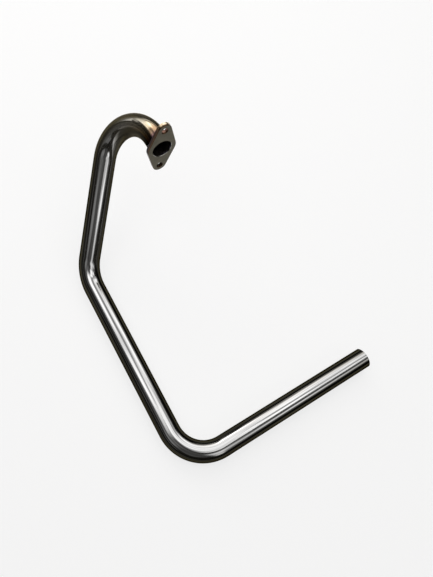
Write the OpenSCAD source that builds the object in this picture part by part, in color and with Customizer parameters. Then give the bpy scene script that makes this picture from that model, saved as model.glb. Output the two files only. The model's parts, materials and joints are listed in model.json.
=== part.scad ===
// Motorcycle exhaust header pipe: one bent steel tube, welded into a two-bolt port flange.
// Lengths are in millimetres, angles in degrees.
// The line of the pipe starts at its cut end and is followed through three bends to the port
// face. The tail run and the long run lie flat on the floor, so the tail bend does too, and
// the knee lifts the rest of the pipe clear of the floor.

/* [Tube] */
// Outside diameter of the tube
tube_od = 28; // [24:0.5:36]
// Thickness of the tube's wall
tube_wall = 1.5; // [1:0.1:3]
// Radius of the tube's centreline in all three bends
bend_radius = 49; // [40:1:70]

/* [Runs and bends] */
// Straight from the cut end, where the silencer slides on, to the tail bend
tail_run = 231; // [160:1:320]
// Turn of the tail bend, flat on the floor
tail_bend = 91; // [75:1:105]
// Straight between the tail bend and the knee
long_run = 214; // [160:1:300]
// Roll of the tube before the knee, which lifts the pipe off the floor
knee_roll = -50; // [-70:1:-30]
// Turn of the knee
knee_bend = 52; // [35:1:65]
// Straight between the knee and the port bend
down_run = 132; // [90:1:200]
// Turn of the port bend, in the same plane as the knee
port_bend = 126; // [90:1:140]
// Straight from the port bend to the port face
port_run = 18; // [16:1:50]

/* [Port flange] */
// Thickness of the flange plate
flange_thick = 5; // [4.5:0.5:9]
// Distance between the two bolt holes
bolt_spacing = 60; // [56:0.5:80]
// Diameter of each bolt hole
bolt_hole = 8.5; // [6.5:0.5:10.5]
// Metal left round each bolt hole
ear_wall = 4.75; // [3:0.25:7]
// Metal left round the tube, at the flange's waist
waist_wall = 4.5; // [4.5:0.25:8]
// Turn of the bolt line from the plane of the port bend
bolt_turn = -35; // [-90:1:90]
// Depth of the socket that the tube is pushed into, from the flange's back
socket_depth = 3; // [2:0.5:3.5]
// Play between the tube and its socket, on the radius
socket_play = 0.1; // [0.05:0.05:0.3]

/* [Weld] */
// Leg of the fillet weld between the tube and the flange's back
weld_leg = 3.5; // [2:0.5:4.5]
// Rise of the weld's round face over a flat one between the same two toes
weld_crown = 0.6; // [0.2:0.1:1]

/* [Hidden] */
$fn = 96;
// How far a cutting shape runs past what it cuts
past = 1;
// Swell of the bends over the straights, and how far a straight reaches into a bend
bend_swell = 0.02;
bend_lap = 0.5;
// The flange's flanks run this far inside the line that would just touch its arcs
flank_inset = 0.01;
tube_r = tube_od / 2;
bore_r = tube_r - tube_wall;
waist_r = tube_r + waist_wall;
ear_r = bolt_hole / 2 + ear_wall;
socket_floor = flange_thick - socket_depth;

// The bend table: each row is a straight, the roll of the tube after it, and the bend
bend_table = [
  [tail_run, 0, tail_bend],
  [long_run, knee_roll, knee_bend],
  [down_run, 0, port_bend]
];
last = len(bend_table);

// A stage of the line is a place, the way ahead, and the way in to the centre of a bend. This
// gives the stage reached part of the way through a row's bend, where part is 0 to 1.
function bent(stage, row, part = 1) = let(
    turn = row[2] * part,
    ahead = stage[1],
    inward = stage[2] * cos(row[1]) + cross(ahead, stage[2]) * sin(row[1])
  ) [
    stage[0] + ahead * row[0] + bend_radius * (ahead * sin(turn) + inward * (1 - cos(turn))),
    ahead * cos(turn) + inward * sin(turn),
    inward * cos(turn) - ahead * sin(turn)
  ];
// The stage at the start of a straight: 0 is at the cut end, which faces +X
function stage_at(i) = i == 0 ? [[0, 0, 0], [-1, 0, 0], [0, 1, 0]]
  : bent(stage_at(i - 1), bend_table[i - 1]);

// Reach of the whole pipe along a direction, from its line and from the flange's two faces
bend_steps = 24;
port = stage_at(last);
port_centre = port[0] + port[1] * port_run;
bolt_way = port[2] * cos(bolt_turn) - cross(port[1], port[2]) * sin(bolt_turn);
function disc_reach(way, centre, axis, r) = way * centre + r * sqrt(1 - pow(way * axis, 2));
function reach(way) = max(concat(
  [disc_reach(way, [0, 0, 0], [1, 0, 0], tube_r)],
  [for (i = [0 : last - 1], k = [0 : bend_steps])
    let(s = bent(stage_at(i), bend_table[i], k / bend_steps))
      disc_reach(way, s[0], s[1], tube_r + bend_swell)],
  [for (depth = [0, flange_thick], ear = [-1, 0, 1])
    let(centre = port_centre - depth * port[1] + ear * bolt_way * bolt_spacing / 2)
      disc_reach(way, centre, port[1], ear == 0 ? waist_r : ear_r)]
));
// The origin is on the floor, under the middle of the pipe's box
origin = [
  (reach([1, 0, 0]) - reach([-1, 0, 0])) / 2,
  (reach([0, 1, 0]) - reach([0, -1, 0])) / 2,
  -reach([0, 0, -1])
];

// Carries its children through a row: +Z stays the way ahead and +X the way in
module through_bend(row) {
  translate([0, 0, row[0]])
    rotate([0, 0, row[1]])
      translate([bend_radius, 0, 0])
        rotate([0, row[2], 0])
          translate([-bend_radius, 0, 0])
            children();
}

// Places its children at the start of a straight
module at_straight(i) {
  if (i == 0)
    translate(-origin)
      rotate([0, -90, 0])
        rotate([0, 0, 90])
          children();
  else
    at_straight(i - 1)
      through_bend(bend_table[i - 1])
        children();
}

// Places its children at the port face, with +Z going back into the tube
module at_port() {
  at_straight(last)
    translate([0, 0, port_run])
      rotate([180, 0, 0])
        children();
}

// One bend of a round bar, at the end of its straight
module bar_bend(r, row) {
  translate([0, 0, row[0]])
    rotate([0, 0, row[1]])
      translate([bend_radius, 0, 0])
        rotate([90, 0, 180])
          rotate_extrude(angle = row[2])
            translate([bend_radius, 0])
              circle(r + bend_swell);
}

// A round bar along the whole line, from before the cut end to a stop short of the port face.
// The straights reach a little way into the bends, which stand a hair proud of them.
module line_bar(r, before, short) {
  for (i = [0 : last - 1]) {
    early = i == 0 ? before : bend_lap;
    at_straight(i) {
      translate([0, 0, -early])
        cylinder(h = early + bend_table[i][0] + bend_lap, r = r);
      bar_bend(r, bend_table[i]);
    }
  }
  at_straight(last)
    translate([0, 0, -bend_lap])
      cylinder(h = bend_lap + port_run - short, r = r);
}

module header_tube() {
  color("silver")
    difference() {
      line_bar(tube_r, 0, socket_floor);
      line_bar(bore_r, past, socket_floor - past);
    }
}

// The flange before drilling: a waist round the tube and an ear round each bolt hole, joined
// by straight flanks that lean in from the waist to the ears
module flange_blank() {
  half = bolt_spacing / 2;
  lean = asin((waist_r - ear_r) / half);
  waist = (waist_r - flank_inset) * [sin(lean), cos(lean)];
  ear = (ear_r - flank_inset) * [sin(lean), cos(lean)];
  cylinder(h = flange_thick, r = waist_r);
  for (side = [-1, 1])
    translate([side * half, 0, 0])
      cylinder(h = flange_thick, r = ear_r);
  linear_extrude(flange_thick)
    polygon([
      [waist.x, waist.y], [half + ear.x, ear.y], [half + ear.x, -ear.y], [waist.x, -waist.y],
      [-waist.x, -waist.y], [-half - ear.x, -ear.y], [-half - ear.x, ear.y], [-waist.x, waist.y]
    ]);
}

module port_flange() {
  color("dimgray")
    at_port()
      rotate([0, 0, bolt_turn])
        difference() {
          flange_blank();
          translate([0, 0, -past])
            cylinder(h = flange_thick + 2 * past, r = bore_r);
          translate([0, 0, socket_floor])
            cylinder(h = socket_depth + past, r = tube_r + socket_play);
          for (side = [-1, 1])
            translate([side * bolt_spacing / 2, 0, -past])
              cylinder(h = flange_thick + 2 * past, d = bolt_hole);
        }
}

// Section of the weld: the corner between the tube and the flange's back, filled out to a round
// face that stands proud of the straight line between its two toes
module weld_section() {
  half_face = weld_leg / sqrt(2);
  face_r = (half_face * half_face + weld_crown * weld_crown) / (2 * weld_crown);
  face_centre = weld_leg / 2 - (face_r - weld_crown) / sqrt(2);
  intersection() {
    square(weld_leg + past);
    translate([face_centre, face_centre])
      circle(face_r);
  }
}

module flange_weld() {
  color("rosybrown")
    at_port()
      translate([0, 0, flange_thick])
        rotate_extrude()
          translate([tube_r, 0])
            weld_section();
}

header_tube();
port_flange();
flange_weld();
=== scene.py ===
# %% [markdown]
# # A motorcycle exhaust header pipe
# The real pipe is one steel tube, bent three times and polished, with a two-bolt flange plate
# welded to the end that meets the cylinder head. The CAD frame already holds its sizes. This
# lesson gives each of its three pieces a finished surface: the polished tube with its heat
# colours, the rolled flange plate, and the rippled weld between them.

# %% Load the frame
import json
import math
import bmesh
import bpy
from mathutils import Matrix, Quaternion, Vector


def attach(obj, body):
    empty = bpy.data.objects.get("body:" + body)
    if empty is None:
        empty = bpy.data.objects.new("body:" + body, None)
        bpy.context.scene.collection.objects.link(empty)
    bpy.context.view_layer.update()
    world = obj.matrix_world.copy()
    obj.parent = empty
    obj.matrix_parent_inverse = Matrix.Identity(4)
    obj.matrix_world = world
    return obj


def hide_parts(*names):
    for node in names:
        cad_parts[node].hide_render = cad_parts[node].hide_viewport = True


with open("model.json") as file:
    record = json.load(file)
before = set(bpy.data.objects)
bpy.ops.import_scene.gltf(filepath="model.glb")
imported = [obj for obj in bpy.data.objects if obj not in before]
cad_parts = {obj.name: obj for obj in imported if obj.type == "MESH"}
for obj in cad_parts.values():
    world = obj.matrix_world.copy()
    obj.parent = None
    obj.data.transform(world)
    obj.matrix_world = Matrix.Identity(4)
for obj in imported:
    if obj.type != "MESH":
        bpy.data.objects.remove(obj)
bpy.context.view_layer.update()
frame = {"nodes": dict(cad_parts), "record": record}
record = frame["record"]
print("frame holds", sorted(frame["nodes"]))

# %% [markdown]
# ## The camera
# The photo looks steeply down on the pipe from its bolt side. The camera could be placed by eye,
# but here its place and lens come from matching the pipe's outline to the photo's. The picture is
# taller than it is wide, so the sensor's long side is set upright.

# %% Camera
CAMERA_PLACE = Vector((-0.18594, -0.17307, 0.66126))
CAMERA_AIM = Vector((0.00335, -0.02238, 0.06))
CAMERA_ROLL = math.radians(21.957)
CAMERA_LENS = 30.95
SENSOR_LONG_SIDE = 36


def photo_camera():
    data = bpy.data.cameras.new("photo_camera")
    data.sensor_fit = "VERTICAL"
    data.sensor_height = SENSOR_LONG_SIDE
    data.lens = CAMERA_LENS
    camera = bpy.data.objects.new("photo_camera", data)
    camera.location = CAMERA_PLACE
    level = (CAMERA_AIM - CAMERA_PLACE).to_track_quat("-Z", "Y")
    camera.rotation_mode = "QUATERNION"
    camera.rotation_quaternion = level @ Quaternion((0, 0, 1), CAMERA_ROLL)
    bpy.context.collection.objects.link(camera)
    return camera


bpy.context.scene.camera = photo_camera()
print("camera", round((CAMERA_AIM - CAMERA_PLACE).length, 3), "m from its aim")

# %% [markdown]
# ## The line of the pipe
# A tube bender works from a short table: push the tube so far, roll it so much, bend it so much.
# The line could be drawn by hand as a curve, but its bends wouldn't be true arcs, so the same
# table gives the line here. A cross direction is carried along the line without twist, so that a
# surface swept on it doesn't shear where the tube was rolled between two bends.

# %% Sizes of the pipe, in metres and degrees
TUBE_R = 0.014
BORE_R = 0.0125
BEND_R = 0.049
# Each row is a straight, the roll of the tube after it, and the turn of the bend
BEND_TABLE = [(0.231, 0, 91), (0.214, -50, 52), (0.132, 0, 126)]
PORT_RUN = 0.018
SOCKET_FLOOR = 0.002

mounts = {mount["name"]: mount for mount in record["mounts"]}
cut_end = Vector(mounts["tail_outside"]["pos_m"])
print("cut end at", tuple(round(value, 4) for value in cut_end))


# %% Walk the line
def walk_line(straight_step=0.01, bend_step=0.00025):
    """Points along the line: (distance, place, ahead, carried), and each bend's span and side."""
    place = cut_end.copy()
    ahead = -Vector(mounts["tail_outside"]["axis"]).normalized()
    carried = Vector((0, 1, 0))
    rolled = 0.0
    distance = 0.0
    points = [(distance, place.copy(), ahead.copy(), carried.copy())]
    bends = []

    def go_straight(length):
        nonlocal place, distance
        steps = max(1, round(length / straight_step))
        for _ in range(steps):
            place = place + ahead * (length / steps)
            distance += length / steps
            points.append((distance, place.copy(), ahead.copy(), carried.copy()))

    for straight, roll, turn in BEND_TABLE:
        go_straight(straight)
        rolled += math.radians(roll)
        inward = Quaternion(ahead, rolled) @ carried
        pivot = place + inward * BEND_R
        axis = ahead.cross(inward)
        start = distance
        steps = round(BEND_R * math.radians(turn) / bend_step)
        part = Quaternion(axis, math.radians(turn) / steps)
        for _ in range(steps):
            place = pivot + part @ (place - pivot)
            ahead = part @ ahead
            carried = part @ carried
            distance += BEND_R * math.radians(turn) / steps
            points.append((distance, place.copy(), ahead.copy(), carried.copy()))
        bends.append((start, distance, rolled))
    go_straight(PORT_RUN - SOCKET_FLOOR)
    return points, bends


line_points, bend_spans = walk_line()
tube_length = line_points[-1][0]
port_ahead = line_points[-1][2]
port_inward = Quaternion(port_ahead, bend_spans[-1][2]) @ line_points[-1][3]
port_centre = line_points[-1][1] + port_ahead * SOCKET_FLOOR
miss = (port_centre - Vector(mounts["port_bore"]["pos_m"])).length
print("tube", round(tube_length, 4), "m long, port face missed by", round(miss * 1000, 3), "mm")

# %% [markdown]
# ## Building node trees
# A few small helpers keep the trees short. One adds a node and sets its values by name, and one
# starts a geometry tree with named inputs. Three write sums on numbers and on directions. The last
# one turns an evaluated object into a plain mesh that stands alone.


# %% Helpers for node trees
def add_node(tree, kind, settings=None, **inputs):
    """Adds a node. An input is given by name, or by i and its number where names repeat."""
    node = tree.nodes.new(kind)
    for name, value in (settings or {}).items():
        setattr(node, name, value)
    for name, value in inputs.items():
        key = int(name[1:]) if name[1:].isdigit() and name[0] == "i" else name.replace("_", " ")
        socket = node.inputs[key]
        if isinstance(value, bpy.types.NodeSocket):
            tree.links.new(value, socket)
        else:
            socket.default_value = value
    return node


def new_geometry_tree(name, sockets):
    tree = bpy.data.node_groups.new(name, "GeometryNodeTree")
    tree.interface.new_socket("Geometry", in_out="INPUT", socket_type="NodeSocketGeometry")
    for label, kind in sockets:
        tree.interface.new_socket(label, in_out="INPUT", socket_type="NodeSocket" + kind)
    tree.interface.new_socket("Geometry", in_out="OUTPUT", socket_type="NodeSocketGeometry")
    return tree, tree.nodes.new("NodeGroupInput").outputs, tree.nodes.new("NodeGroupOutput").inputs


def math_node(tree, operation, a, b=0.0):
    return add_node(tree, "ShaderNodeMath", {"operation": operation}, i0=a, i1=b).outputs[0]


def vector_math(tree, operation, a, b=(0, 0, 0)):
    node = add_node(tree, "ShaderNodeVectorMath", {"operation": operation}, i0=a, i1=b)
    return node.outputs[0]


def scaled(tree, vector, factor):
    node = add_node(tree, "ShaderNodeVectorMath", {"operation": "SCALE"}, i0=vector, Scale=factor)
    return node.outputs[0]


def plain_mesh_from(source, tree, values, name):
    """Runs a geometry tree on an object and returns the result as a plain mesh object."""
    modifier = source.modifiers.new("shape", "NODES")
    modifier.node_group = tree
    for item in tree.interface.items_tree:
        if item.in_out == "INPUT" and item.name in values:
            modifier[item.identifier] = values[item.name]
    graph = bpy.context.evaluated_depsgraph_get()
    mesh = bpy.data.meshes.new_from_object(source.evaluated_get(graph), depsgraph=graph)
    source.modifiers.remove(modifier)
    bpy.data.objects.remove(source)
    mesh.name = name
    made = bpy.data.objects.new(name, mesh)
    bpy.context.collection.objects.link(made)
    return made


# %% [markdown]
# ## Polished and heat-coloured steel
# Steel that is polished all over shows the room in long streaks. Near the weld the heat leaves
# thin oxide films, whose colour follows how hot each place was: blue and purple by the bead,
# then brown, gold and pale straw, then bare metal. The bands could be painted by hand, but they
# depend on distance alone. So the distance from the port is stored on the mesh, one colour ramp on
# it paints every band, and noise wobbles their edges.
#
# The helpers below name the nodes that every finish here needs. A fade is given as a span: where
# it starts and where it ends.


# %% Helpers for materials
def new_material(name):
    material = bpy.data.materials.new(name)
    material.use_nodes = True
    tree = material.node_tree
    return material, tree, tree.nodes["Principled BSDF"]


def colour_ramp(tree, factor, stops, interpolation="LINEAR"):
    node = add_node(tree, "ShaderNodeValToRGB", i0=factor)
    ramp = node.color_ramp
    ramp.interpolation = interpolation
    while len(ramp.elements) < len(stops):
        ramp.elements.new(1.0)
    for element, (place, colour) in zip(ramp.elements, stops):
        element.position = place
        element.color = (*colour, 1)
    return node.outputs[0]


def mixed(tree, blend, factor, a, b):
    node = add_node(tree, "ShaderNodeMix", {"data_type": "RGBA", "blend_type": blend})
    for socket, value in ((node.inputs[0], factor), (node.inputs[6], a), (node.inputs[7], b)):
        if isinstance(value, bpy.types.NodeSocket):
            tree.links.new(value, socket)
        else:
            socket.default_value = value
    return node.outputs[2]


def map_range(tree, value, low, high, to_low=0.0, to_high=1.0, smooth=False):
    kind = "SMOOTHSTEP" if smooth else "LINEAR"
    return add_node(
        tree, "ShaderNodeMapRange", {"interpolation_type": kind}, Value=value,
        From_Min=low, From_Max=high, To_Min=to_low, To_Max=to_high,
    ).outputs[0]


def fade_in(tree, value, span, level=1.0):
    """0 at the span's start, rising smoothly to the level at its end."""
    return map_range(tree, value, *span, 0.0, level, smooth=True)


def fade_out(tree, value, span, level=1.0):
    """The level at the span's start, falling smoothly to 0 at its end."""
    return map_range(tree, value, *span, level, 0.0, smooth=True)


def dot_product(tree, a, b):
    node = add_node(tree, "ShaderNodeVectorMath", {"operation": "DOT_PRODUCT"}, i0=a, i1=b)
    return node.outputs["Value"]


def noise(tree, place, scale, detail):
    return add_node(tree, "ShaderNodeTexNoise", Vector=place, Scale=scale, Detail=detail).outputs[0]


def object_place(tree):
    return add_node(tree, "ShaderNodeTexCoord").outputs["Object"]


def grey(level):
    return (level, level, level)


# %% Heat colours
# Distances are in metres from the port. The stops are shares of the reach
HEAT_REACH = 0.06
HEAT_WOBBLE = 0.006
HEAT_STOPS = [
    (0.0, (0.20, 0.17, 0.28)),
    (0.14, (0.26, 0.18, 0.30)),
    (0.20, (0.45, 0.26, 0.24)),
    (0.29, (0.78, 0.53, 0.33)),
    (0.42, (1.0, 0.86, 0.62)),
    (0.65, (1.0, 0.96, 0.86)),
    (1.0, (1.0, 1.0, 1.0)),
]


def heat_colours(tree, place, along):
    wander = noise(tree, place, scale=60.0, detail=3.0)
    wobble = map_range(tree, wander, 0.0, 1.0, -HEAT_WOBBLE, HEAT_WOBBLE)
    reach = math_node(tree, "DIVIDE", math_node(tree, "ADD", along, wobble), HEAT_REACH)
    return colour_ramp(tree, reach, HEAT_STOPS, "EASE")


print(len(HEAT_STOPS), "heat colours over", HEAT_REACH, "m")

# %% [markdown]
# Drawing the tube through its die left fine lines along it. Noise that is stretched along one
# axis of the room would suit only one straight run. The straight blank's own places are stored on
# the mesh before it is bent, so noise that is stretched along the blank follows the tube round
# every bend.

# %% Drawn steel
BARE_STEEL = (0.535, 0.532, 0.528, 1)
CLOUD_STOPS = [(0.3, grey(0.94)), (0.7, grey(1.0))]
# How finely the lines lie along and across the blank, and how dark they are
LINE_STRETCH = (10, 650, 650)
LINE_STOPS = [(0.36, grey(0.6)), (0.56, grey(1.0))]


def drawn_steel(tree, place, blank):
    """Bare steel with a faint cloud on it and the fine lines of drawing."""
    cloud = colour_ramp(tree, noise(tree, place, scale=25.0, detail=4.0), CLOUD_STOPS)
    bare = mixed(tree, "MULTIPLY", 1.0, BARE_STEEL, cloud)
    stretched = vector_math(tree, "MULTIPLY", blank, LINE_STRETCH)
    lines = noise(tree, stretched, scale=1.0, detail=2.0)
    return mixed(tree, "MULTIPLY", 1.0, bare, colour_ramp(tree, lines, LINE_STOPS))


print("drawn lines stretched", LINE_STRETCH[1] // LINE_STRETCH[0], "times along the tube")

# %% [markdown]
# The tube's sides look nearly black, because they mirror the dark room beyond the table. Here the
# floor is white as far as a mirror sees, so a ramp on how far the surface turns away paints that
# dark reflection into the sides' colour instead, a painted reflection. By the port the tube shines
# further round, so there the ramp starts later.

# %% Dark sides
# Painted reflection: base colours that darken the sides with their slant, for the dark room they
# mirror
PAINTED_SIDE_REFLECTION_STOPS = [
    (0.13, (1.0, 1.0, 1.0)),
    (0.19, (0.5, 0.49, 0.46)),
    (0.26, (0.08, 0.077, 0.068)),
    (0.36, (0.062, 0.059, 0.049)),
    (0.5, (0.14, 0.132, 0.106)),
    (0.62, (0.122, 0.115, 0.092)),
    (0.8, (0.1, 0.095, 0.078)),
]
# The later start is a share of the ramp, with the span of distances over which it fades out. It
# holds all round the tube at the port, then along the outer side, and most on the upper side. A
# side is a share of the tube's radius, measured towards the side that faces down
PORT_SHINE = 0.14
PORT_SPAN = (0.035, 0.06)
OUTER_SPAN = (0.05, 0.11)
OUTER_SIDE = (0.9, 0.6)
UPPER_SHINE = 0.26
UPPER_SPAN = (0.05, 0.12)
UPPER_SIDE = (-0.1, -0.4)


def port_shine(tree, along, down_side):
    """How much later the dark ramp starts near the port."""
    near = fade_out(tree, along, PORT_SPAN, PORT_SHINE)
    outer = math_node(
        tree, "MULTIPLY", fade_in(tree, down_side, OUTER_SIDE),
        fade_out(tree, along, OUTER_SPAN, PORT_SHINE),
    )
    upper = math_node(
        tree, "MULTIPLY", fade_in(tree, down_side, UPPER_SIDE),
        fade_out(tree, along, UPPER_SPAN, UPPER_SHINE),
    )
    return math_node(tree, "MAXIMUM", math_node(tree, "MAXIMUM", near, outer), upper)


def painted_dark_sides(tree, along, down_side):
    slant = add_node(tree, "ShaderNodeLayerWeight", Blend=0.5).outputs["Facing"]
    later = math_node(tree, "SUBTRACT", slant, port_shine(tree, along, down_side))
    return colour_ramp(tree, later, PAINTED_SIDE_REFLECTION_STOPS)


print("sides darken in", len(PAINTED_SIDE_REFLECTION_STOPS), "steps")

# %% [markdown]
# Two more marks of heat lie on the port bend. The side that faces down and outwards is darker
# brown:
# partly a heat tan, partly painted shade, as that side mirrors the dim floor. The oxide film
# is a little dull, so it also catches soft light from all round. Sheen stands for that film.
# Bending has left the skin of this bend slightly wavy too.

# %% Polished tube material
# Tan and painted shade: the side facing down and outwards is darkened brown, partly heat, partly
# shade
TAN_AND_SHADE = (0.13, 0.085, 0.035, 1)
TAN_AND_SHADE_WAY = Vector((-0.936, 0.0, -0.351))
TAN_AND_SHADE_SIDE = (0.15, 0.5)
TAN_AND_SHADE_SPAN = (0.01, 0.11)
FILM_GLOW = 0.36
FILM_TINT = (0.9, 0.79, 0.56, 1)
FILM_START = (0.01, 0.035)
FILM_SPAN = (0.035, 0.17)
EDGE_TINT = (0.26, 0.25, 0.2, 1)
SCUFF_SPAN = (0.3, 0.75)
POLISH = (0.07, 0.15)
WAVE_HEIGHT = 0.0002
WAVE_SPAN = (0.17, 0.23)
WAVE_NEAR = 0.5
WAVE_FAR = 0.04


def towards_tan_and_shade(tree, blank):
    """1 at the line of the tube that faces the tan and painted shade, down to -1 at the one
    opposite.
    """
    carried = line_points[-1][3]
    aside = port_ahead.cross(carried)
    way = (0.0, TAN_AND_SHADE_WAY.dot(carried) / TUBE_R, TAN_AND_SHADE_WAY.dot(aside) / TUBE_R)
    return dot_product(tree, blank, way)


def polished_tube_material():
    material, tree, shader = new_material("polished_tube")
    place = object_place(tree)
    along = add_node(tree, "ShaderNodeAttribute", {"attribute_name": "from_port"}).outputs["Fac"]
    blank = add_node(tree, "ShaderNodeAttribute", {"attribute_name": "blank"}).outputs["Vector"]
    down_side = towards_tan_and_shade(tree, blank)
    steel = drawn_steel(tree, place, blank)
    heated = mixed(tree, "MULTIPLY", 1.0, steel, heat_colours(tree, place, along))
    # The tan and painted shade on the side that faces down and outwards, near the port
    tan_and_shade_share = math_node(
        tree, "MULTIPLY", fade_in(tree, down_side, TAN_AND_SHADE_SIDE), fade_out(tree, along, TAN_AND_SHADE_SPAN),
    )
    toned = mixed(tree, "MULTIPLY", tan_and_shade_share, heated, TAN_AND_SHADE)
    colour = mixed(tree, "MULTIPLY", 1.0, toned, painted_dark_sides(tree, along, down_side))
    tree.links.new(colour, shader.inputs["Base Color"])
    shader.inputs["Metallic"].default_value = 1.0
    shader.inputs["Specular Tint"].default_value = EDGE_TINT

    film_glow = math_node(
        tree, "MULTIPLY", map_range(tree, along, *FILM_START),
        fade_out(tree, along, FILM_SPAN, FILM_GLOW),
    )
    tree.links.new(film_glow, shader.inputs["Sheen Weight"])
    shader.inputs["Sheen Tint"].default_value = FILM_TINT
    scuff = noise(tree, place, scale=400.0, detail=5.0)
    tree.links.new(map_range(tree, scuff, *SCUFF_SPAN, *POLISH), shader.inputs["Roughness"])

    wavy = map_range(tree, along, *WAVE_SPAN, WAVE_NEAR, WAVE_FAR, smooth=True)
    wave = noise(tree, place, scale=45.0, detail=2.0)
    bump = add_node(tree, "ShaderNodeBump", Strength=wavy, Distance=WAVE_HEIGHT, Height=wave)
    tree.links.new(bump.outputs[0], shader.inputs["Normal"])
    return material


tube_finish = polished_tube_material()
print("finish", tube_finish.name)

# %% [markdown]
# Inside, the bore is coloured near black and matt. Plain black would hide the curve of the wall
# just inside its mouth, so fine noise mixes two dark tones, and makes the darker patches a
# little smoother.

# %% Bore material
# The bore's two near-black tones, and its roughness over them
BORE_DARK_STOPS = [(0.3, (0.04, 0.036, 0.031)), (0.7, (0.11, 0.1, 0.087))]
BORE_DARK_ROUGH = (0.3, 0.55)


def dark_bore_material():
    material, tree, shader = new_material("tube_bore")
    bore_tone = noise(tree, object_place(tree), scale=180.0, detail=6.0)
    tree.links.new(colour_ramp(tree, bore_tone, BORE_DARK_STOPS), shader.inputs["Base Color"])
    shader.inputs["Metallic"].default_value = 1.0
    tree.links.new(map_range(tree, bore_tone, 0.0, 1.0, *BORE_DARK_ROUGH), shader.inputs["Roughness"])
    return material


bore_finish = dark_bore_material()
print("finish", bore_finish.name)

# %% [markdown]
# ## The tube
# A curve with a round bevel would give the tube's outside, but not its wall. The real tube starts
# as a straight length and is bent afterwards, and the model is made the same way. A straight
# blank is turned first: its wall section, with both cut ends, spun about its line. A geometry tree
# then carries each of its points to the bent line. That keeps the rings square to the line and
# gives every point its distance from the port for the heat colours.

# %% Section of the tube's wall
OUTSIDE_STEP = 0.0025
BORE_STEP = 0.005
CUT_EDGE = 0.0002


def wall_section():
    """The wall's section as a closed loop of (distance from the cut end, radius, is inside)."""
    outside = round(tube_length / OUTSIDE_STEP)
    inside = round(tube_length / BORE_STEP)
    straight = tube_length - 2 * CUT_EDGE
    loop = [(0.0, TUBE_R - CUT_EDGE, False)]
    for step in range(outside + 1):
        loop.append((CUT_EDGE + straight * step / outside, TUBE_R, False))
    loop.append((tube_length, TUBE_R - CUT_EDGE, False))
    loop.append((tube_length, BORE_R + CUT_EDGE, False))
    for step in range(inside, -1, -1):
        loop.append((CUT_EDGE + straight * step / inside, BORE_R, True))
    loop.append((0.0, BORE_R + CUT_EDGE, False))
    return loop


wall_loop = wall_section()
print("wall section", len(wall_loop), "points round")

# %% Straight blank of the tube
RING_SIDES = 96
TUBE_CREASE = math.radians(40)


def straight_blank(loop):
    verts = []
    for reach, radius, _ in loop:
        for side in range(RING_SIDES):
            angle = 2 * math.pi * side / RING_SIDES
            verts.append((reach, radius * math.cos(angle), radius * math.sin(angle)))
    faces = []
    inside = []
    for ring in range(len(loop)):
        after = (ring + 1) % len(loop)
        for side in range(RING_SIDES):
            near = (side + 1) % RING_SIDES
            faces.append((
                ring * RING_SIDES + side,
                ring * RING_SIDES + near,
                after * RING_SIDES + near,
                after * RING_SIDES + side,
            ))
            inside.append(loop[ring][2] and loop[after][2])
    mesh = bpy.data.meshes.new("straight_blank")
    mesh.from_pydata(verts, [], faces)
    mesh.attributes.new("inside", "BOOLEAN", "FACE").data.foreach_set("value", inside)
    mesh.shade_smooth()
    mesh.set_sharp_from_angle(angle=TUBE_CREASE)
    blank = bpy.data.objects.new("straight_blank", mesh)
    bpy.context.collection.objects.link(blank)
    return blank


tube_blank = straight_blank(wall_loop)
print("straight blank", len(tube_blank.data.polygons), "faces")


# %% Line to bend along
def line_object():
    mesh = bpy.data.meshes.new("pipe_line")
    count = len(line_points)
    links = [(i, i + 1) for i in range(count - 1)]
    mesh.from_pydata([point[1] for point in line_points], links, [])
    carried = mesh.attributes.new("carried", "FLOAT_VECTOR", "POINT")
    for index, point in enumerate(line_points):
        carried.data[index].vector = point[3]
    line = bpy.data.objects.new("pipe_line", mesh)
    bpy.context.collection.objects.link(line)
    return line


pipe_line = line_object()
print("line", len(pipe_line.data.vertices), "points")


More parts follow.
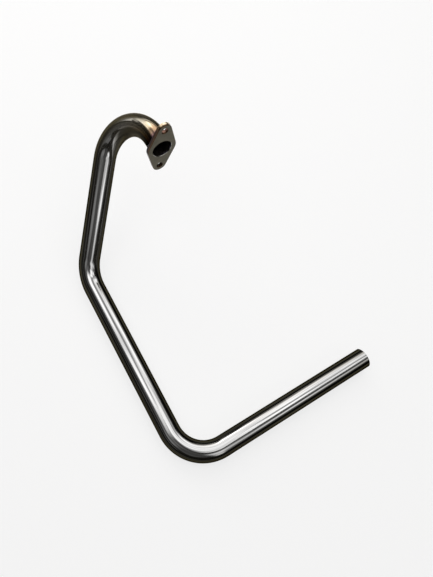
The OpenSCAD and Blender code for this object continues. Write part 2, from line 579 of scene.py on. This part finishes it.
# %% Bend the blank
def bending_tree():
    tree, given, result = new_geometry_tree("bend_tube", [
        ("Line", "Object"), ("Length", "Float"), ("Outside", "Material"), ("Bore", "Material"),
    ])
    line = add_node(
        tree, "GeometryNodeObjectInfo", {"transform_space": "RELATIVE"}, Object=given["Line"],
    )
    curve = add_node(tree, "GeometryNodeMeshToCurve", Mesh=line.outputs["Geometry"])
    carried = add_node(
        tree, "GeometryNodeInputNamedAttribute", {"data_type": "FLOAT_VECTOR"}, Name="carried",
    )
    spot = tree.nodes.new("GeometryNodeInputPosition").outputs[0]
    blank = add_node(tree, "ShaderNodeSeparateXYZ", i0=spot).outputs
    sample = add_node(
        tree, "GeometryNodeSampleCurve", {"mode": "LENGTH", "data_type": "FLOAT_VECTOR"},
        Curves=curve.outputs[0], Value=carried.outputs[0], Length=blank[0],
    ).outputs
    across = vector_math(tree, "NORMALIZE", sample["Value"])
    aside = vector_math(tree, "CROSS_PRODUCT", sample["Tangent"], across)
    off = vector_math(tree, "ADD", scaled(tree, across, blank[1]), scaled(tree, aside, blank[2]))
    away = math_node(tree, "SUBTRACT", given["Length"], blank[0])
    marked = add_node(
        tree, "GeometryNodeStoreNamedAttribute", {"data_type": "FLOAT", "domain": "POINT"},
        Geometry=given["Geometry"], Name="from_port", Value=away,
    )
    kept = add_node(
        tree, "GeometryNodeStoreNamedAttribute", {"data_type": "FLOAT_VECTOR", "domain": "POINT"},
        Geometry=marked.outputs[0], Name="blank", Value=spot,
    )
    bent = add_node(
        tree, "GeometryNodeSetPosition",
        Geometry=kept.outputs[0], Position=vector_math(tree, "ADD", sample["Position"], off),
    )
    real = add_node(tree, "GeometryNodeRealizeInstances", Geometry=bent.outputs[0])
    skin = add_node(
        tree, "GeometryNodeSetMaterial", Geometry=real.outputs[0], Material=given["Outside"],
    )
    inner = add_node(
        tree, "GeometryNodeInputNamedAttribute", {"data_type": "BOOLEAN"}, Name="inside",
    )
    bore = add_node(
        tree, "GeometryNodeSetMaterial",
        Geometry=skin.outputs[0], Selection=inner.outputs[0], Material=given["Bore"],
    )
    tree.links.new(bore.outputs[0], result[0])
    return tree


bent_tube = plain_mesh_from(tube_blank, bending_tree(), {
    "Line": pipe_line, "Length": tube_length, "Outside": tube_finish, "Bore": bore_finish,
}, "bent_tube")
bpy.data.objects.remove(pipe_line)
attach(bent_tube, "root")
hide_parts("header_tube")
print("tube", len(bent_tube.data.polygons), "faces")

# %% [markdown]
# ## The flange plate
# The flange is cut from rolled plate: a waist round the tube, an ear round each bolt hole and
# straight flanks between them. Booleans could cut its holes, but rough edges often come with
# them. It is built as stacked outlines with holes instead, so every edge gets its small rounding
# and each hole its chamfer, and the wide faces stay flat.

# %% Flange sizes and frame
FLANGE_THICK = 0.005
BOLT_SPACING = 0.06
BOLT_HOLE_R = 0.00425
WAIST_WALL = 0.0045
EAR_WALL = 0.00475
SOCKET_PLAY = 0.0001
WAIST_R = TUBE_R + WAIST_WALL
EAR_R = BOLT_HOLE_R + EAR_WALL
SOCKET_R = TUBE_R + SOCKET_PLAY
BOLT_TURN = math.radians(-35)
EDGE_ROUND = 0.0004
HOLE_CHAMFER = 0.0003
BORE_CHAMFER = 0.00035
FLANGE_CREASE = math.radians(14)

port_back = -port_ahead
bolt_way = port_inward * math.cos(BOLT_TURN) - port_ahead.cross(port_inward) * math.sin(BOLT_TURN)
flank_way = port_back.cross(bolt_way)


def from_flange(x, y, z):
    """A place given along the bolt line, across it, and back from the mating face."""
    return port_centre + bolt_way * x + flank_way * y + port_back * z


print("bolt line points", tuple(round(value, 3) for value in bolt_way))

# %% Flange outline
ARC_STEPS = 24
HOLE_SIDES = 64


def flange_outline(shrink):
    half = BOLT_SPACING / 2
    lean = math.asin((WAIST_R - EAR_R) / half)
    arcs = [
        (half, EAR_R, -math.pi / 2 + lean, math.pi / 2 - lean),
        (0.0, WAIST_R, math.pi / 2 - lean, math.pi / 2 + lean),
        (-half, EAR_R, math.pi / 2 + lean, 1.5 * math.pi - lean),
        (0.0, WAIST_R, 1.5 * math.pi - lean, 1.5 * math.pi + lean),
    ]
    points = []
    for centre, radius, start, end in arcs:
        for step in range(ARC_STEPS + 1):
            angle = start + (end - start) * step / ARC_STEPS
            reach = radius - shrink
            points.append((centre + reach * math.cos(angle), reach * math.sin(angle)))
    return points


def circle_points(centre, radius):
    turns = [2 * math.pi * side / HOLE_SIDES for side in range(HOLE_SIDES)]
    return [(centre + radius * math.cos(turn), radius * math.sin(turn)) for turn in turns]


print("flange outline", len(flange_outline(0.0)), "points round")

# %% Flange mesh
ROUND_STEPS = 6
# The places of the flange's finishes in its list of materials
GROUND, HEAT_AND_PAINTED_LIGHT, HOLE_WALL, WORN_EDGE, BORE_WALL = range(5)


def flange_mesh():
    work = bmesh.new()

    def ring(points, depth):
        return [work.verts.new(from_flange(x, y, depth)) for x, y in points]

    def wall(rings, finish):
        for low, high in zip(rings, rings[1:]):
            for i in range(len(low)):
                j = (i + 1) % len(low)
                work.faces.new([low[i], low[j], high[j], high[i]]).material_index = finish

    def flat(loops, finish):
        edges = []
        for loop in loops:
            for i in range(len(loop)):
                edges.append(work.edges.get((loop[i], loop[(i + 1) % len(loop)])))
        filled = bmesh.ops.triangle_fill(work, use_beauty=True, use_dissolve=False, edges=edges)
        for item in filled["geom"]:
            if isinstance(item, bmesh.types.BMFace):
                item.material_index = finish

    def hole(centre, steps):
        """Rings down a round hole, from (radius, depth) pairs."""
        return [ring(circle_points(centre, radius), depth) for radius, depth in steps]

    thick = FLANGE_THICK
    turns = [math.radians(90 * step / ROUND_STEPS) for step in range(ROUND_STEPS + 1)]
    rounding = [
        (EDGE_ROUND * (1 - math.sin(turn)), EDGE_ROUND * (1 - math.cos(turn))) for turn in turns
    ]
    outer = [ring(flange_outline(inset), depth) for inset, depth in rounding]
    outer += [ring(flange_outline(inset), thick - depth) for inset, depth in reversed(rounding)]
    wall(outer, HEAT_AND_PAINTED_LIGHT)
    bolt_holes = [hole(side * BOLT_SPACING / 2, [
        (BOLT_HOLE_R + HOLE_CHAMFER, 0.0), (BOLT_HOLE_R, HOLE_CHAMFER),
        (BOLT_HOLE_R, thick - HOLE_CHAMFER), (BOLT_HOLE_R + HOLE_CHAMFER, thick),
    ]) for side in (-1, 1)]
    for rings in bolt_holes:
        wall(rings, HOLE_WALL)
    bore = hole(0.0, [
        (BORE_R + BORE_CHAMFER, 0.0), (BORE_R, BORE_CHAMFER), (BORE_R, SOCKET_FLOOR),
        (SOCKET_R, SOCKET_FLOOR), (SOCKET_R, thick),
    ])
    wall(bore[:2], WORN_EDGE)
    wall(bore[1:], BORE_WALL)
    holes = bolt_holes + [bore]
    flat([outer[0]] + [rings[0] for rings in holes], GROUND)
    flat([outer[-1]] + [rings[-1] for rings in holes], HEAT_AND_PAINTED_LIGHT)
    bmesh.ops.recalc_face_normals(work, faces=work.faces)
    mesh = bpy.data.meshes.new("flange_plate")
    work.to_mesh(mesh)
    work.free()
    mesh.shade_smooth()
    mesh.set_sharp_from_angle(angle=FLANGE_CREASE)
    return mesh


plate_mesh = flange_mesh()
print("plate", len(plate_mesh.vertices), "points")

# %% [markdown]
# The mating face is ground flat, so it is one even, satin grey. The rest of the plate is coloured
# along the bolt line: near black at the lower ear, blue-black beside the tube, then maroon and
# brown, and straw at the tip of the upper ear. This is partly heat colour and partly painted light:
# the straw tip is a painted highlight and the dark lower ear painted shade. One function makes
# every
# finish: its colour follows either the place on the bolt line or the grain alone. The bore's mouth
# has worn bright at its edge.

# %% Flange colours
HALF_PLATE = 0.04
# Stops along the bolt line, from the lower ear's tip to the upper ear's
# Partly heat colours, partly painted light: a painted highlight at the upper tip, painted shade low
PLATE_HEAT_AND_PAINTED_LIGHT = [
    (0.0, (0.035, 0.034, 0.03)),
    (0.34, (0.02, 0.021, 0.024)),
    (0.5, (0.017, 0.016, 0.022)),
    (0.62, (0.018, 0.009, 0.009)),
    (0.75, (0.026, 0.011, 0.009)),
    (0.88, (0.04, 0.018, 0.01)),
    (0.93, (0.12, 0.07, 0.03)),
    (0.965, (0.7, 0.55, 0.36)),
    (1.0, (0.88, 0.76, 0.57)),
]
# Close to the mating face the plate's edge is brown all round, fading over this span of depths
FACE_BROWN = (0.06, 0.034, 0.018, 1)
FACE_SPAN = (0.0012, 0.003)
PLATE_WOBBLE = 0.04
GRAIN_HEIGHT = 0.0001
GRAIN_STRENGTH = 0.3
# The bolt holes' walls: painted shade in the lower hole, near black, and reddish brown in the upper
# one
HOLE_HEAT_AND_SHADE = [
    (0.3, (0.012, 0.011, 0.01)),
    (0.7, (0.2, 0.11, 0.085)),
]
GROUND_GREY = [(0.32, (0.07, 0.064, 0.045)), (0.7, (0.108, 0.098, 0.07))]
BRIGHT_STEEL = [(0.3, (0.28, 0.27, 0.25)), (0.7, (0.46, 0.45, 0.43))]
print(len(PLATE_HEAT_AND_PAINTED_LIGHT), "colours along the bolt line")


# %% Flange materials
def up_the_bolt_line(tree, off, speckle):
    """0 at the lower ear's tip to 1 at the upper ear's, with a little wobble."""
    along = dot_product(tree, off, tuple(-bolt_way))
    wobble = map_range(tree, speckle, 0.0, 1.0, -PLATE_WOBBLE, PLATE_WOBBLE)
    return math_node(tree, "ADD", map_range(tree, along, -HALF_PLATE, HALF_PLATE), wobble)


def plate_material(name, stops, rough, by_place):
    """Rolled steel: its colour comes from its place on the bolt line, or from grain alone."""
    material, tree, shader = new_material(name)
    place = object_place(tree)
    speckle = noise(tree, place, scale=150.0, detail=6.0)
    if by_place:
        off = vector_math(tree, "SUBTRACT", place, tuple(port_centre))
        back = fade_in(tree, dot_product(tree, off, tuple(port_back)), FACE_SPAN)
        # Colour along the bolt line: partly heat, partly painted light and shade
        heat = colour_ramp(tree, up_the_bolt_line(tree, off, speckle), stops)
        colour = mixed(tree, "MIX", back, FACE_BROWN, heat)
    else:
        colour = colour_ramp(tree, speckle, stops)
    tree.links.new(colour, shader.inputs["Base Color"])
    shader.inputs["Metallic"].default_value = 1.0
    tree.links.new(map_range(tree, speckle, 0.0, 1.0, *rough), shader.inputs["Roughness"])
    grain = noise(tree, place, scale=900.0, detail=4.0)
    bump = add_node(
        tree, "ShaderNodeBump", Strength=GRAIN_STRENGTH, Distance=GRAIN_HEIGHT, Height=grain,
    )
    tree.links.new(bump.outputs[0], shader.inputs["Normal"])
    return material


flange_finishes = {
    GROUND: plate_material("ground_face", GROUND_GREY, (0.36, 0.52), False),
    HEAT_AND_PAINTED_LIGHT: plate_material("heat_and_painted_light_plate", PLATE_HEAT_AND_PAINTED_LIGHT, (0.2, 0.34), True),
    HOLE_WALL: plate_material("hole_wall", HOLE_HEAT_AND_SHADE, (0.25, 0.4), True),
    WORN_EDGE: plate_material("worn_edge", BRIGHT_STEEL, (0.15, 0.25), False),
    BORE_WALL: bore_finish,
}
print(len(flange_finishes), "finishes on the flange")

# %% Flange
flange_plate = bpy.data.objects.new("flange_plate", plate_mesh)
bpy.context.collection.objects.link(flange_plate)
for finish in sorted(flange_finishes):
    flange_plate.data.materials.append(flange_finishes[finish])
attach(flange_plate, "root")
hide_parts("port_flange")
print("flange", len(flange_plate.data.polygons), "faces")

# %% [markdown]
# ## The weld
# A fillet weld is laid as a row of small melted pools, each frozen half over the last one. A bump
# could shade its ripples, but they show in the bead's outline too, so here they are real shape. A
# flat strip is rolled up into the bead: one way runs round the tube, the other across the bead's
# face. The ripples are a formula of both, so their count and height are two named inputs.

# %% Weld finish
WELD_STOPS = [(0.3, (0.1, 0.095, 0.14)), (0.5, (0.17, 0.14, 0.16)), (0.7, (0.28, 0.23, 0.2))]
WELD_ROUGH = (0.22, 0.42)


def weld_material():
    material, tree, shader = new_material("weld_bead")
    speckle = noise(tree, object_place(tree), scale=300.0, detail=4.0)
    tree.links.new(colour_ramp(tree, speckle, WELD_STOPS), shader.inputs["Base Color"])
    shader.inputs["Metallic"].default_value = 1.0
    tree.links.new(map_range(tree, speckle, 0.0, 1.0, *WELD_ROUGH), shader.inputs["Roughness"])
    return material


weld_finish = weld_material()
print("finish", weld_finish.name)

# %% Weld strip
WELD_LEG = 0.0035
WELD_BULGE = 0.0006
WELD_POOLS = 46
WELD_RIPPLE = 0.00018
STEPS_PER_POOL = 12
STEPS_ACROSS = 14
# The strip's last row of points goes to the corner between tube and plate, and is told from the
# rest by its y
CORNER_MARK = 2.0


def weld_strip():
    """The strip that is rolled into the bead: x is the turn round the tube, y the way across."""
    around = WELD_POOLS * STEPS_PER_POOL
    verts = []
    for turn in range(around):
        for step in range(STEPS_ACROSS + 1):
            verts.append((turn / around, step / STEPS_ACROSS, 0.0))
        verts.append((turn / around, CORNER_MARK, 0.0))
    row = STEPS_ACROSS + 2
    faces = []
    for turn in range(around):
        here = turn * row
        after = (turn + 1) % around * row
        for step in range(row):
            near = (step + 1) % row
            faces.append((here + step, after + step, after + near, here + near))
    mesh = bpy.data.meshes.new("weld_strip")
    mesh.from_pydata(verts, [], faces)
    mesh.shade_smooth()
    strip = bpy.data.objects.new("weld_strip", mesh)
    bpy.context.collection.objects.link(strip)
    return strip


flat_strip = weld_strip()
print("weld strip", len(flat_strip.data.polygons), "faces")

# %% Weld bead tree
# A pool's ripple rises steeply to its crest about a mean level, and its middle lags behind its
# edges by this share of a pool
POOL_POWER = 0.6
POOL_MEAN = 0.6
POOL_LAG = 0.55


def weld_tree():
    tree, given, result = new_geometry_tree("weld_bead", [
        ("Pools", "Float"), ("Ripple", "Float"), ("Leg", "Float"), ("Bulge", "Float"),
        ("Tube radius", "Float"), ("Bead", "Material"),
        ("Centre", "Vector"), ("Along", "Vector"), ("Across", "Vector"), ("Back", "Vector"),
    ])
    spot = tree.nodes.new("GeometryNodeInputPosition").outputs[0]
    turn, step, _ = add_node(tree, "ShaderNodeSeparateXYZ", i0=spot).outputs

    def times(a, b):
        return math_node(tree, "MULTIPLY", a, b)

    def plus(a, b):
        return math_node(tree, "ADD", a, b)

    corner = math_node(tree, "GREATER_THAN", step, CORNER_MARK - 0.5)
    on_face = math_node(tree, "SUBTRACT", 1.0, corner)
    crown = math_node(tree, "SINE", times(step, math.pi))
    laid = math_node(tree, "SUBTRACT", times(turn, given["Pools"]), times(crown, POOL_LAG))
    phase = math_node(tree, "FRACT", laid)
    pool = math_node(tree, "SUBTRACT", math_node(tree, "POWER", phase, POOL_POWER), POOL_MEAN)
    lift = times(times(pool, given["Ripple"]), crown)
    swell = times(plus(times(crown, given["Bulge"]), lift), on_face)
    diagonal = times(swell, math.sqrt(0.5))
    share = times(step, on_face)
    outward = times(times(math_node(tree, "SUBTRACT", 1.0, share), given["Leg"]), on_face)
    radius = plus(plus(given["Tube radius"], outward), diagonal)
    height = plus(times(share, given["Leg"]), diagonal)
    angle = times(turn, 2 * math.pi)
    x = scaled(tree, given["Along"], times(radius, math_node(tree, "COSINE", angle)))
    y = scaled(tree, given["Across"], times(radius, math_node(tree, "SINE", angle)))
    z = scaled(tree, given["Back"], height)
    level = vector_math(tree, "ADD", x, y)
    place = vector_math(tree, "ADD", level, vector_math(tree, "ADD", z, given["Centre"]))
    moved = add_node(
        tree, "GeometryNodeSetPosition", Geometry=given["Geometry"], Position=place,
    )
    real = add_node(tree, "GeometryNodeRealizeInstances", Geometry=moved.outputs[0])
    skin = add_node(
        tree, "GeometryNodeSetMaterial", Geometry=real.outputs[0], Material=given["Bead"],
    )
    tree.links.new(skin.outputs[0], result[0])
    return tree


bead_tree = weld_tree()
print("bead tree", len(bead_tree.nodes), "nodes")

# %% Weld bead
weld_bead = plain_mesh_from(flat_strip, bead_tree, {
    "Pools": float(WELD_POOLS), "Ripple": WELD_RIPPLE, "Leg": WELD_LEG, "Bulge": WELD_BULGE,
    "Tube radius": TUBE_R, "Bead": weld_finish,
    "Centre": from_flange(0, 0, FLANGE_THICK), "Along": bolt_way, "Across": flank_way,
    "Back": port_back,
}, "weld_bead")
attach(weld_bead, "root")
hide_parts("flange_weld")
print("weld", len(weld_bead.data.polygons), "faces in", WELD_POOLS, "pools")

# %% [markdown]
# ## The floor
# The photo's pipe is cut out on white, so the floor and the world are white for every ray that
# comes from the camera, a mirror or glass. For every other ray the floor is plain and pale and the
# world is dim, so that the floor keeps the pipe's shadow and the pipe is lit by the panels.

# %% Floor and backdrop
FLOOR_HALF = 2.8
FLOOR_PALE = (0.9, 0.9, 0.9, 1)
FLOOR_ROUGH = 0.9
FLOOR_SHINE = 0.1
FLOOR_SHARE = 0.75
WORLD_DIM = 0.1


def white_to_view(tree):
    """1 for a ray from the camera, or by way of a mirror or glass, so all three see the same."""
    path = add_node(tree, "ShaderNodeLightPath").outputs
    seen = math_node(tree, "MAXIMUM", path["Is Camera Ray"], path["Is Glossy Ray"])
    return math_node(tree, "MAXIMUM", seen, path["Is Transmission Ray"])


def stage_plane(name, corners, material):
    mesh = bpy.data.meshes.new(name)
    mesh.from_pydata(corners, [], [(0, 1, 2, 3)])
    plane = bpy.data.objects.new(name, mesh)
    bpy.context.collection.objects.link(plane)
    mesh.materials.append(material)
    return plane


def flat_corners(low, high, height):
    """The corners of a level sheet, from two opposite ones."""
    (x0, y0), (x1, y1) = low, high
    return [(x0, y0, height), (x0, y1, height), (x1, y1, height), (x1, y0, height)]


def upright_corners(start, end, height):
    """The corners of an upright sheet that stands on the floor from start to end."""
    (x0, y0), (x1, y1) = start, end
    return [(x0, y0, 0), (x1, y1, 0), (x1, y1, height), (x0, y0, height)]


def floor_material():
    material, tree, shader = new_material("pale_floor")
    shader.inputs["Base Color"].default_value = FLOOR_PALE
    shader.inputs["Roughness"].default_value = FLOOR_ROUGH
    shader.inputs["Specular IOR Level"].default_value = FLOOR_SHINE
    glow = add_node(tree, "ShaderNodeEmission", Color=(1, 1, 1, 1), Strength=1.0)
    share = math_node(tree, "MULTIPLY", white_to_view(tree), FLOOR_SHARE)
    blend = add_node(
        tree, "ShaderNodeMixShader", i0=share, i1=shader.outputs[0], i2=glow.outputs[0],
    )
    tree.links.new(blend.outputs[0], tree.nodes["Material Output"].inputs["Surface"])
    return material


def studio_world():
    world = bpy.data.worlds.new("studio")
    world.use_nodes = True
    tree = world.node_tree
    backing = tree.nodes["Background"]
    backing.inputs["Color"].default_value = (1, 1, 1, 1)
    lift = math_node(tree, "MULTIPLY", white_to_view(tree), 1 - WORLD_DIM)
    tree.links.new(math_node(tree, "ADD", lift, WORLD_DIM), backing.inputs["Strength"])
    return world


floor = stage_plane("floor", [
    (-FLOOR_HALF, -FLOOR_HALF, 0), (FLOOR_HALF, -FLOOR_HALF, 0),
    (FLOOR_HALF, FLOOR_HALF, 0), (-FLOOR_HALF, FLOOR_HALF, 0),
], floor_material())
bpy.context.scene.world = studio_world()
print(floor.name, 2 * FLOOR_HALF, "m across")

# %% [markdown]
# ## The lights
# Polished metal shows what is round it, so the light is built as shapes. Area lights would show as
# plates with hard edges, so one dark ceiling hangs over the pipe instead, with soft-edged panels of
# light painted on it, and they draw the long streaks. Where each panel lies follows from the photo:
# the camera's ray to a streak, turned back at the tube's surface, goes up to the place on the
# ceiling that the streak shows. Two windows stand upright, for the port bend, whose upper side
# looks out level with the floor.

# %% Soft panels
CEILING_HEIGHT = 1.05
CEILING_HALF = 2.8
PANEL_GLOW = 2.2
WARM = (1.0, 0.98, 0.955)
WHITE = (1.0, 1.0, 1.0)
# Each panel: low and high X and its soft edge, low and high Y and its soft edge, share, colour
PANELS = [
    ("left", -0.94, 0.01, 0.38, -0.24, 0.98, 0.34, 1.0, WHITE),
    ("seam", -0.12, 0.16, 0.10, -0.10, 0.95, 0.12, 0.16, WHITE),
    ("right", 0.0, 1.4, 0.35, 0.0, 0.57, 0.2, 0.62, WHITE),
    ("right haze", 0.0, 1.5, 0.35, -0.18, 0.66, 0.1, 0.28, WHITE),
    ("right end", 1.1, 2.2, 0.35, 0.05, 0.8, 0.2, 0.26, WHITE),
    ("ledge", 0.0, 1.0, 0.20, -0.16, 0.12, 0.1, 0.04, WHITE),
    ("lip", -0.25, 0.3, 0.13, -0.2, 0.04, 0.1, 0.85, WHITE),
    ("back", -0.05, 1.15, 0.30, 0.4, 1.65, 0.25, 0.4, WARM),
    ("back haze", -0.05, 1.9, 0.30, 0.4, 1.8, 0.3, 0.42, WARM),
    ("front", -0.25, 0.88, 0.3, -0.55, -0.1, 0.13, 0.92, WHITE),
    ("wedge", -0.42, 0.27, 0.26, -2.6, -0.68, 0.3, 0.48, WHITE),
    ("dim", -0.2, 1.3, 0.30, -1.3, -0.45, 0.2, 0.045, WHITE),
    ("far", 0.05, 1.35, 0.3, -1.72, -0.88, 0.3, 0.54, WHITE),
    ("far haze", -0.1, 1.9, 0.30, -2.6, -1.4, 0.3, 0.1, WHITE),
    ("column", 0.76, 1.12, 0.14, -1.2, -0.5, 0.1, 0.2, WHITE),
    ("side", -1.75, -0.8, 0.3, -0.75, 0.1, 0.25, 0.105, WHITE),
    ("side near", -0.95, -0.3, 0.25, -0.55, -0.05, 0.2, 0.06, WHITE),
    ("side haze", -1.75, -0.1, 0.4, -1.9, 1.0, 0.3, 0.036, WHITE),
    ("corner", -0.75, 0.5, 0.35, 0.85, 3.1, 0.2, 1.0, WARM),
    ("far corner", -1.4, 1.2, 0.35, 1.75, 3.2, 0.3, 0.42, WARM),
    ("far right", 0.75, 3.2, 0.40, 1.8, 3.2, 0.3, 0.5, WARM),
]


def soft_box(tree, value, low, high, soft):
    """1 inside low to high, falling softly to 0 at both."""
    rise = map_range(tree, value, low, low + soft, smooth=True)
    fall = map_range(tree, value, high, high - soft, smooth=True)
    return math_node(tree, "MULTIPLY", rise, fall)


def glowing_material(name, panels, first_axis, second_axis, base):
    """A dark sheet with soft-edged panels of light on it, over two axes of the object."""
    material, tree, shader = new_material(name)
    tree.nodes.remove(shader)
    axes = add_node(tree, "ShaderNodeSeparateXYZ", i0=object_place(tree)).outputs
    total = base
    for _, low_u, high_u, soft_u, low_v, high_v, soft_v, share, colour in panels:
        shape = math_node(
            tree, "MULTIPLY", soft_box(tree, axes[first_axis], low_u, high_u, soft_u),
            soft_box(tree, axes[second_axis], low_v, high_v, soft_v),
        )
        light = tuple(channel * share for channel in colour)
        total = vector_math(tree, "ADD", total, scaled(tree, light, shape))
    glow = add_node(tree, "ShaderNodeEmission", Color=total, Strength=PANEL_GLOW)
    tree.links.new(glow.outputs[0], tree.nodes["Material Output"].inputs["Surface"])
    return material


DARK_CEILING = (0.0095, 0.0092, 0.008)
ceiling = stage_plane("light_ceiling", flat_corners(
    (-CEILING_HALF, -CEILING_HALF), (CEILING_HALF, CEILING_HALF), CEILING_HEIGHT,
), glowing_material("light_ceiling", PANELS, 0, 1, DARK_CEILING))
ceiling.visible_camera = False
print(len(PANELS), "panels of light on the ceiling")

# %% Upright windows
# Written as the panels are, but over X and Z, or over Y and Z for the side window
WINDOW = [
    ("window", -2.1, 0.5, 0.4, 0.05, 1.2, 0.15, 1.1, WHITE),
    ("window haze", 0.1, 3.2, 0.4, -0.2, 1.3, 0.15, 0.03, WHITE),
]
SIDE_WINDOW = [("side window", -1.7, 3.3, 0.5, -0.2, 1.3, 0.15, 0.09, WHITE)]
WINDOW_BACK = 2.75
WINDOW_LEFT = -2.1
SIDE_WINDOW_FRONT = -1.7
window = stage_plane("light_window", upright_corners(
    (WINDOW_LEFT, WINDOW_BACK), (WINDOW_BACK, WINDOW_BACK), CEILING_HEIGHT,
), glowing_material("light_window", WINDOW, 0, 2, DARK_CEILING))
side_window = stage_plane("light_side_window", upright_corners(
    (-WINDOW_BACK, SIDE_WINDOW_FRONT), (-WINDOW_BACK, WINDOW_BACK), CEILING_HEIGHT,
), glowing_material("light_side_window", SIDE_WINDOW, 1, 2, DARK_CEILING))
for sheet in (window, side_window):
    sheet.visible_camera = False
print(len(WINDOW) + len(SIDE_WINDOW), "panels of light on the windows")

# %% [markdown]
# The knee turns through the gap between two panels, where its streak would break off. A small
# card over the pipe carries the streak across. It is lit only in the middle and clear at its
# edges, it is seen only in mirror-like surfaces, and it casts no shadow.

# %% Knee card
CARD_HEIGHT = 0.23
CARD_GLOW = 1.7
# Low and high, and the soft edge
CARD_X = (-0.13, 0.02, 0.05)
CARD_Y = (-0.22, 0.015, 0.09)


def card_material():
    material, tree, shader = new_material("knee_card")
    tree.nodes.remove(shader)
    axes = add_node(tree, "ShaderNodeSeparateXYZ", i0=object_place(tree)).outputs
    shape = math_node(
        tree, "MULTIPLY", soft_box(tree, axes[0], *CARD_X), soft_box(tree, axes[1], *CARD_Y),
    )
    glow = add_node(tree, "ShaderNodeEmission", Color=(1, 1, 1, 1), Strength=CARD_GLOW)
    clear = add_node(tree, "ShaderNodeBsdfTransparent")
    card = add_node(tree, "ShaderNodeMixShader", i0=shape, i1=clear.outputs[0], i2=glow.outputs[0])
    tree.links.new(card.outputs[0], tree.nodes["Material Output"].inputs["Surface"])
    return material


knee_card = stage_plane("knee_card", flat_corners(
    (CARD_X[0], CARD_Y[0]), (CARD_X[1], CARD_Y[1]), CARD_HEIGHT,
), card_material())
knee_card.visible_camera = False
knee_card.visible_diffuse = False
knee_card.visible_transmission = False
knee_card.visible_shadow = False
print("knee card", CARD_HEIGHT, "m up")

# %% [markdown]
# ## The flags
# Dark flags stand round the table, as they do when metal is photographed, and give the streaks
# something dark beside them. Four tall ones close the room, and two low ones stand near the pipe,
# where they darken what the tube's sides mirror just above the floor.

# %% Dark flags
FLAG_REACH = 2.8
NEAR_FLAG = 0.8
NEAR_FLAG_TOP = 0.22
NEAR_FLAG_END = 0.25
FLAG_DARK = (0.03, 0.028, 0.022, 1)
FLAG_TINT = (0.9, 0.88, 0.8, 1)
FLAG_GLOW = 0.022


def flag_material():
    material, tree, shader = new_material("dark_flag")
    shader.inputs["Base Color"].default_value = FLAG_DARK
    shader.inputs["Roughness"].default_value = 1.0
    shader.inputs["Specular IOR Level"].default_value = 0.0
    shader.inputs["Emission Color"].default_value = FLAG_TINT
    shader.inputs["Emission Strength"].default_value = FLAG_GLOW
    return material


flag_cloth = flag_material()


def stand_flag(name, start, end, height):
    flag = stage_plane(name, upright_corners(start, end, height), flag_cloth)
    flag.visible_camera = False


room = [
    (FLAG_REACH, FLAG_REACH), (-FLAG_REACH, FLAG_REACH),
    (-FLAG_REACH, -FLAG_REACH), (FLAG_REACH, -FLAG_REACH),
]
for index, corner in enumerate(room):
    stand_flag("flag_%d" % index, corner, room[(index + 1) % len(room)], CEILING_HEIGHT)
near_corner = (-NEAR_FLAG, -NEAR_FLAG)
stand_flag("near_flag_left", near_corner, (-NEAR_FLAG, NEAR_FLAG_END), NEAR_FLAG_TOP)
stand_flag("near_flag_front", near_corner, (NEAR_FLAG, -NEAR_FLAG), NEAR_FLAG_TOP)
print("flags stand", NEAR_FLAG, "and", FLAG_REACH, "m out")

# %% [markdown]
# ## Colours
# The Standard view keeps colours as they are written.

# %% Colour management
view = bpy.context.scene.view_settings
view.view_transform = "Standard"
print("view", view.view_transform)
